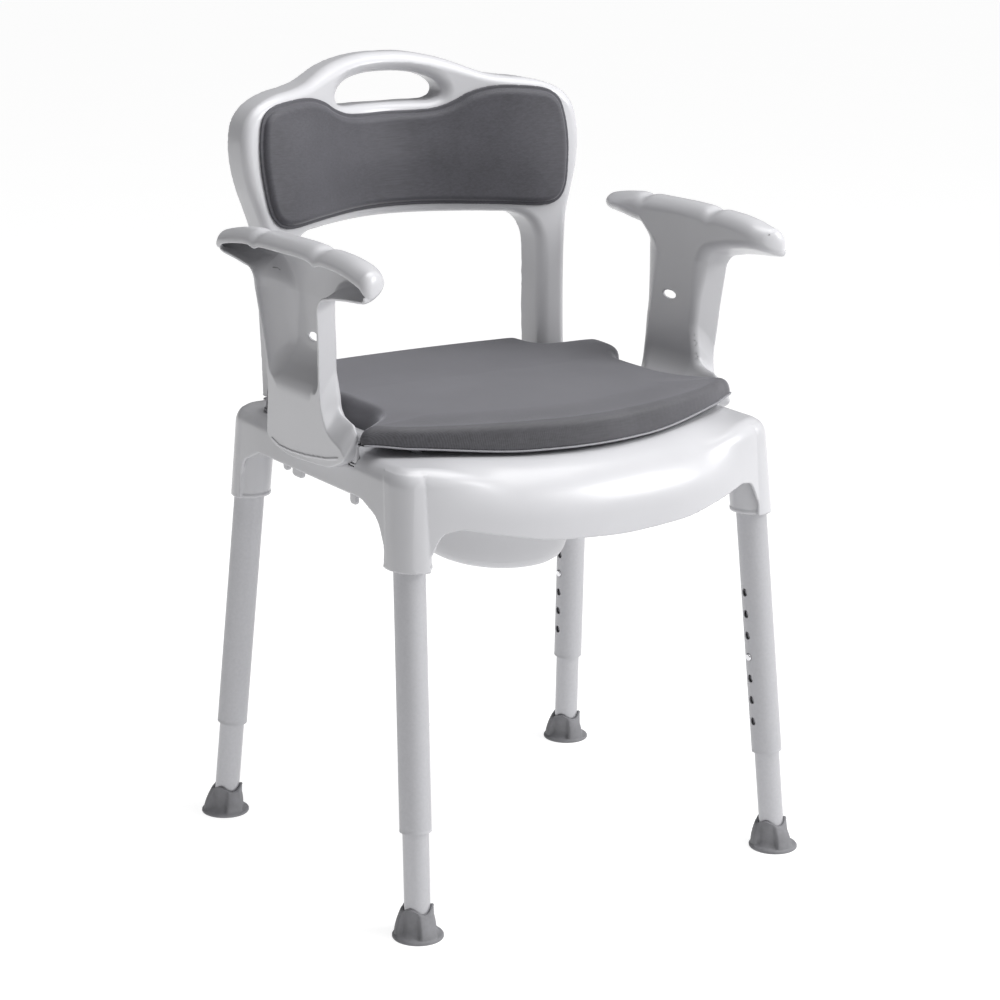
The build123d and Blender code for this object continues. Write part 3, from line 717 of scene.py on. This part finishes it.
def commode_pan(count=128):
    """An oval bowl with a rolled rim, an inner skin and a faint step round its side."""
    turn = np.arange(count) * 2 * np.pi / count
    bottom, top = pan_low[2], pan_high[2]
    rim_x, rim_y = pan_high[0], pan_high[1]
    rings = []

    def ring(rx, ry, z, square=2.15):
        c, s = np.cos(turn), np.sin(turn)
        size = (abs(c) ** square + abs(s) ** square) ** (-1 / square)
        rings.append(np.stack([rx * c * size, ry * s * size, z + 0 * turn], axis=1))

    profile = [(40, 0), (56, 0.6), (66, 3), (72.5, 7.5), (76.5, 14), (79.5, 24), (83, 38), (87, 50),
               (90, 58), (92.2, 60.5), (93.2, 62.5), (96, 72), (103, 92), (111, 110), (115, 117)]
    longer = 16.0
    for rx, z in profile:
        ring(rx, rx + longer, bottom + z)
    flange = [(118, 134, -3.4), (124, 141, -3.0), (137, 153, -3.0), (141, 157, -2.8),
              (rim_x, rim_y, -1.8), (rim_x, rim_y, -0.8), (rim_x - 1, rim_y - 1, 0),
              (126, 143, 0), (119, 136, -0.6), (114, 130, -3)]
    for rx, ry, z in flange:
        ring(rx, ry, top + z, 2.6)
    for rx, z in profile[-3::-1]:
        ring(rx - 2.5, rx + longer - 2.5, bottom + z + 2.6 * (z < 6))
    return ring_mesh("commode_pan_moulded", rings)


# ---- materials -----------------------------------------------------------------------------------
def new_material(name, color, roughness, metallic=0.0, **sockets):
    """A principled shader whose constants sit on its own sockets."""
    material = bpy.data.materials.new(name)
    material.use_nodes = True
    nodes, links = material.node_tree.nodes, material.node_tree.links
    shader = nodes["Principled BSDF"]
    shader.inputs["Base Color"].default_value = (*color, 1)
    shader.inputs["Roughness"].default_value = roughness
    shader.inputs["Metallic"].default_value = metallic
    for key, value in sockets.items():
        shader.inputs[key.replace("_", " ")].default_value = value
    place = nodes.new("ShaderNodeTexCoord")
    return material, nodes, links, shader, place.outputs["Object"]


def math_node(nodes, links, operation, a, b=None):
    node = nodes.new("ShaderNodeMath")
    node.operation = operation
    for socket, value in zip(node.inputs, (a, b)):
        if value is None:
            continue
        if isinstance(value, (int, float)):
            socket.default_value = value
        else:
            links.new(value, socket)
    return node.outputs[0]


def noise(nodes, links, place, scale, detail=3.0, roughness=0.55):
    node = nodes.new("ShaderNodeTexNoise")
    node.inputs["Scale"].default_value = scale
    node.inputs["Detail"].default_value = detail
    node.inputs["Roughness"].default_value = roughness
    links.new(place, node.inputs["Vector"])
    return node.outputs["Fac"]


def ramp(nodes, links, factor, stops):
    node = nodes.new("ShaderNodeValToRGB")
    while len(node.color_ramp.elements) < len(stops):
        node.color_ramp.elements.new(0.5)
    for element, (position, color) in zip(node.color_ramp.elements, stops):
        element.position = position
        element.color = (*color, 1)
    links.new(factor, node.inputs["Fac"])
    return node.outputs["Color"]


def spread(nodes, links, factor, low, high):
    """A 0 to 1 value spread between two others."""
    node = nodes.new("ShaderNodeMapRange")
    node.inputs["To Min"].default_value = low
    node.inputs["To Max"].default_value = high
    links.new(factor, node.inputs["Value"])
    return node.outputs["Result"]


def bump(nodes, links, shader, height, distance, strength=1.0):
    node = nodes.new("ShaderNodeBump")
    node.inputs["Distance"].default_value = distance
    node.inputs["Strength"].default_value = strength
    links.new(height, node.inputs["Height"])
    links.new(node.outputs["Normal"], shader.inputs["Normal"])


def shade(color, gain):
    return tuple(min(1.0, c * gain) for c in color)


def moulded_plastic(name, color, roughness, coat=0.0, grain=900.0):
    """Moulded thermoplastic: slow flow marks in the colour, handling haze and a fine skin."""
    material, nodes, links, shader, place = new_material(
        name, color, roughness, Coat_Weight=coat, Coat_Roughness=0.18, IOR=1.49)
    flow = noise(nodes, links, place, 7, 4)
    links.new(ramp(nodes, links, flow, [(0.3, shade(color, 0.965)), (0.7, shade(color, 1.03))]),
              shader.inputs["Base Color"])
    haze = noise(nodes, links, place, 26, 5, 0.62)
    links.new(spread(nodes, links, haze, roughness - 0.05, roughness + 0.09), shader.inputs["Roughness"])
    skin = math_node(nodes, links, "ADD", noise(nodes, links, place, grain, 2),
                     math_node(nodes, links, "MULTIPLY", noise(nodes, links, place, 60, 2), 1.4))
    bump(nodes, links, shader, skin, 0.00004, 0.5)
    return material


def coated_metal(name, color, roughness, metallic=0.35, drawn=False):
    """Satin tube: a fine sparkle in the colour, and drawing lines along bare metal."""
    material, nodes, links, shader, place = new_material(name, color, roughness, metallic)
    fleck = noise(nodes, links, place, 300, 2, 0.6)
    links.new(ramp(nodes, links, fleck, [(0.3, shade(color, 0.97)), (0.7, shade(color, 1.03))]),
              shader.inputs["Base Color"])
    if drawn:
        stretch = nodes.new("ShaderNodeMapping")
        stretch.inputs["Scale"].default_value = (1, 1, 0.01)
        links.new(place, stretch.inputs["Vector"])
        lines = noise(nodes, links, stretch.outputs["Vector"], 700, 3, 0.6)
    else:
        lines = noise(nodes, links, place, 90, 3, 0.5)
    links.new(spread(nodes, links, lines, roughness - 0.08, roughness + 0.1), shader.inputs["Roughness"])
    bump(nodes, links, shader, lines, 0.00001, 0.3)
    return material


def rubber(name, color):
    material, nodes, links, shader, place = new_material(name, color, 0.62)
    dust = noise(nodes, links, place, 45, 6, 0.65)
    links.new(ramp(nodes, links, dust, [(0.35, shade(color, 0.86)), (0.75, shade(color, 1.2))]),
              shader.inputs["Base Color"])
    links.new(spread(nodes, links, dust, 0.52, 0.74), shader.inputs["Roughness"])
    bump(nodes, links, shader, noise(nodes, links, place, 900, 3), 0.00012, 0.6)
    return material


def woven_foam(name, color, axes, sheen, pitch=0.0016):
    """Foam with a pressed-in weave: two sets of threads with slubs, over slow shade changes."""
    material, nodes, links, shader, place = new_material(
        name, color, 0.6, Sheen_Weight=sheen, Sheen_Roughness=0.42, Sheen_Tint=(0.8, 0.8, 0.86, 1))
    split = nodes.new("ShaderNodeSeparateXYZ")
    links.new(place, split.inputs[0])
    wander = noise(nodes, links, place, 120, 3)
    threads = []
    for axis in axes:
        run = math_node(nodes, links, "MULTIPLY", split.outputs[axis], 2 * math.pi / pitch)
        run = math_node(nodes, links, "ADD", run, math_node(nodes, links, "MULTIPLY", wander, 5.0))
        threads.append(math_node(nodes, links, "SINE", run))
    weave = math_node(nodes, links, "MULTIPLY", threads[0], threads[1])
    weave = math_node(nodes, links, "ADD", math_node(nodes, links, "MULTIPLY", weave, 0.5), 0.5)
    slub = nodes.new("ShaderNodeMapping")
    slub.inputs["Scale"].default_value = tuple(0.06 if "XYZ".index(axes[0]) == k else 1 for k in range(3))
    links.new(place, slub.inputs["Vector"])
    slubs = noise(nodes, links, slub.outputs["Vector"], 520, 3, 0.6)
    cloud = noise(nodes, links, place, 14, 5, 0.6)
    mixed = math_node(nodes, links, "ADD", math_node(nodes, links, "MULTIPLY", weave, 0.30),
                      math_node(nodes, links, "MULTIPLY", slubs, 0.45))
    mixed = math_node(nodes, links, "ADD", mixed, math_node(nodes, links, "MULTIPLY", cloud, 0.35))
    links.new(ramp(nodes, links, mixed, [(0.35, shade(color, 0.6)), (0.75, shade(color, 1.4))]),
              shader.inputs["Base Color"])
    links.new(spread(nodes, links, slubs, 0.5, 0.7), shader.inputs["Roughness"])
    relief = math_node(nodes, links, "ADD", weave, math_node(nodes, links, "MULTIPLY", slubs, 0.8))
    bump(nodes, links, shader, relief, 0.00012, 0.55)
    return material


SHELL = moulded_plastic("shell_plastic_skin", (0.52, 0.52, 0.54), 0.30, 0.3)
PAN = moulded_plastic("pan_plastic_skin", (0.55, 0.55, 0.57), 0.42)
PLATE = moulded_plastic("cushion_plate_skin", (0.27, 0.27, 0.29), 0.5)
BUSH = moulded_plastic("bush_plastic_skin", (0.45, 0.45, 0.47), 0.45)
STUD = moulded_plastic("stud_plastic_skin", (0.05, 0.05, 0.055), 0.5)
TUBE = coated_metal("leg_tube_coat", (0.45, 0.45, 0.47), 0.38)
INNER = coated_metal("leg_inner_coat", (0.46, 0.46, 0.48), 0.32, 0.5, drawn=True)
CHROME = coated_metal("button_chrome_skin", (0.78, 0.78, 0.80), 0.12, 1.0)
SPRING = coated_metal("spring_steel_skin", (0.45, 0.45, 0.47), 0.3, 1.0)
SCREW = coated_metal("screw_steel_skin", (0.6, 0.6, 0.6), 0.28, 1.0)
RUBBER = rubber("foot_rubber_skin", (0.20, 0.20, 0.212))
SEAT_PAD = woven_foam("seat_pad_weave", (0.056, 0.055, 0.062), "XY", 0.62)
BACK_PAD = woven_foam("back_pad_weave", (0.056, 0.055, 0.065), "XZ", 0.3)


def dress(obj, material):
    obj.data.materials.clear()
    obj.data.materials.append(material)
    return obj


# ---- pieces ----------------------------------------------------------------------------------------
seat = moulded("seat_shell", seat_shell, (-250, -263, POST_BOTTOM - 1), (250, 184, SEAT_TOP + 1),
               2.0, 150000)
dress(seat, SHELL)
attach(seat, "seat")
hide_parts("seat_frame")

for side in ("left", "right"):
    arm = moulded("armrest_" + side + "_shell", armrest, (196, -184, 434), (275, 148, 717), 1.5, 110000,
                  mirror=side == "right")
    dress(arm, SHELL)
    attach(arm, "armrest_" + side)
    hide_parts("armrest_" + side)

back = moulded("backrest_shell", backrest, (-228, 112, 450), (228, 268, 872), 2.0, 150000)
dress(back, SHELL)
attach(back, "backrest")
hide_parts("backrest_frame")

pad = moulded("back_pad_soft", back_pad, (-210, 112, 686), (210, 242, 834), 1.7, 70000)
dress(pad, BACK_PAD)
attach(pad, "backrest")
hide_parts("back_pad")

cushion = moulded("seat_cushion_soft", seat_cushion, (-240, -207, 496), (240, 180, 536), 2.2, 80000)
dress(cushion, SEAT_PAD)
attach(cushion, "cushion")
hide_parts("seat_cushion")

plate = moulded("seat_cushion_plate", cushion_plate, (-240, -207, 495), (240, 180, 514), 1.2, 50000)
dress(plate, PLATE)
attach(plate, "cushion")
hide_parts("seat_cushion_base")

pegs = moulded("seat_cushion_pegs_turned", cushion_pegs, (-187, -137, PLATE_BOTTOM - 11),
               (187, 107, 507), 1.2, 9000)
dress(pegs, PLATE)
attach(pegs, "cushion")
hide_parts("seat_cushion_pegs")

pan = commode_pan()
dress(pan, PAN)
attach(pan, "pan")
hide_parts("commode_pan")

for leg in LEGS:
    piece = foot(leg)
    dress(piece, RUBBER)
    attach(piece, "leg_" + leg)
    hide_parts("foot_" + leg)

CAD_LOOKS = {
    "leg_tube": TUBE, "leg_extension": INNER, "leg_bush": BUSH, "snap_button": CHROME,
    "button_spring": SPRING, "pan_rail": SHELL, "rail_screws": SCREW, "leg_screws": SCREW,
    "back_pad_studs": STUD,
}
for name, node in frame["nodes"].items():
    for prefix, material in CAD_LOOKS.items():
        if name.startswith(prefix):
            for slot in node.material_slots:
                slot.material = material

# ---- floor, light and camera ---------------------------------------------------------------------------
FLOOR_HALF = 60000
floor = mesh_object("floor", [(-FLOOR_HALF, -FLOOR_HALF, 0), (FLOOR_HALF, -FLOOR_HALF, 0),
                              (FLOOR_HALF, FLOOR_HALF, 0), (-FLOOR_HALF, FLOOR_HALF, 0)], [(0, 1, 2, 3)])
pale, nodes, links, shader, place = new_material("floor_pale", (0.35, 0.35, 0.35), 0.9,
                                                Emission_Color=(1, 1, 1, 1), Emission_Strength=0.80)
mottle = noise(nodes, links, place, 3, 2)
links.new(ramp(nodes, links, mottle, [(0.3, (0.345, 0.345, 0.345)), (0.7, (0.35, 0.35, 0.35))]),
          shader.inputs["Base Color"])
floor.data.materials.append(pale)

world = bpy.data.worlds.new("studio")
bpy.context.scene.world = world
world.use_nodes = True
sky, wires = world.node_tree.nodes, world.node_tree.links
background = sky["Background"]
direction = sky.new("ShaderNodeTexCoord").outputs["Generated"]
aim = sky.new("ShaderNodeVectorMath")
aim.operation = "DOT_PRODUCT"
wires.new(direction, aim.inputs[0])
aim.inputs[1].default_value = Vector((0.55, -0.55, 0.63)).normalized()
lobe = math_node(sky, wires, "MAXIMUM", aim.outputs["Value"], 0.0)
glow = math_node(sky, wires, "ADD", math_node(sky, wires, "MULTIPLY", lobe, 0.9), 0.04)
wires.new(glow, background.inputs["Strength"])
background.inputs["Color"].default_value = (1, 1, 1, 1)


def area_light(name, place, target, size, power):
    data = bpy.data.lights.new(name, "AREA")
    data.shape = "RECTANGLE"
    data.size, data.size_y = size
    data.energy = power
    obj = bpy.data.objects.new(name, data)
    bpy.context.scene.collection.objects.link(obj)
    obj.location = place
    obj.rotation_euler = (Vector(target) - Vector(place)).to_track_quat("-Z", "Y").to_euler()


area_light("key", (2.0, -2.0, 2.2), (0, 0, 0.45), (1.4, 1.4), 60)
area_light("top", (0.3, -0.2, 2.8), (0, 0, 0.4), (1.8, 1.8), 42)

camera = bpy.data.objects.new("camera", bpy.data.cameras.new("camera"))
bpy.context.scene.collection.objects.link(camera)
bpy.context.scene.camera = camera
AIMED_AT = Vector((-0.1159, -0.176, 0.4479))
DISTANCE = 2.973
azimuth, elevation, roll = (math.radians(a) for a in (-33.31, 15.28, 0.69))
backward = Vector((math.sin(azimuth) * math.cos(elevation), -math.cos(azimuth) * math.cos(elevation),
                   math.sin(elevation)))
right = Vector((math.cos(azimuth), math.sin(azimuth), 0))
upward = backward.cross(right)
tilted = right * math.cos(roll) + upward * math.sin(roll)
upward = backward.cross(tilted)
turned = Matrix((tilted, upward, backward)).transposed().to_4x4()
camera.matrix_world = Matrix.Translation(AIMED_AT + backward * DISTANCE) @ turned
camera.data.lens = 101.5776
camera.data.shift_x = 0.0093
camera.data.shift_y = -0.0014
bpy.context.scene.view_settings.view_transform = "Standard"
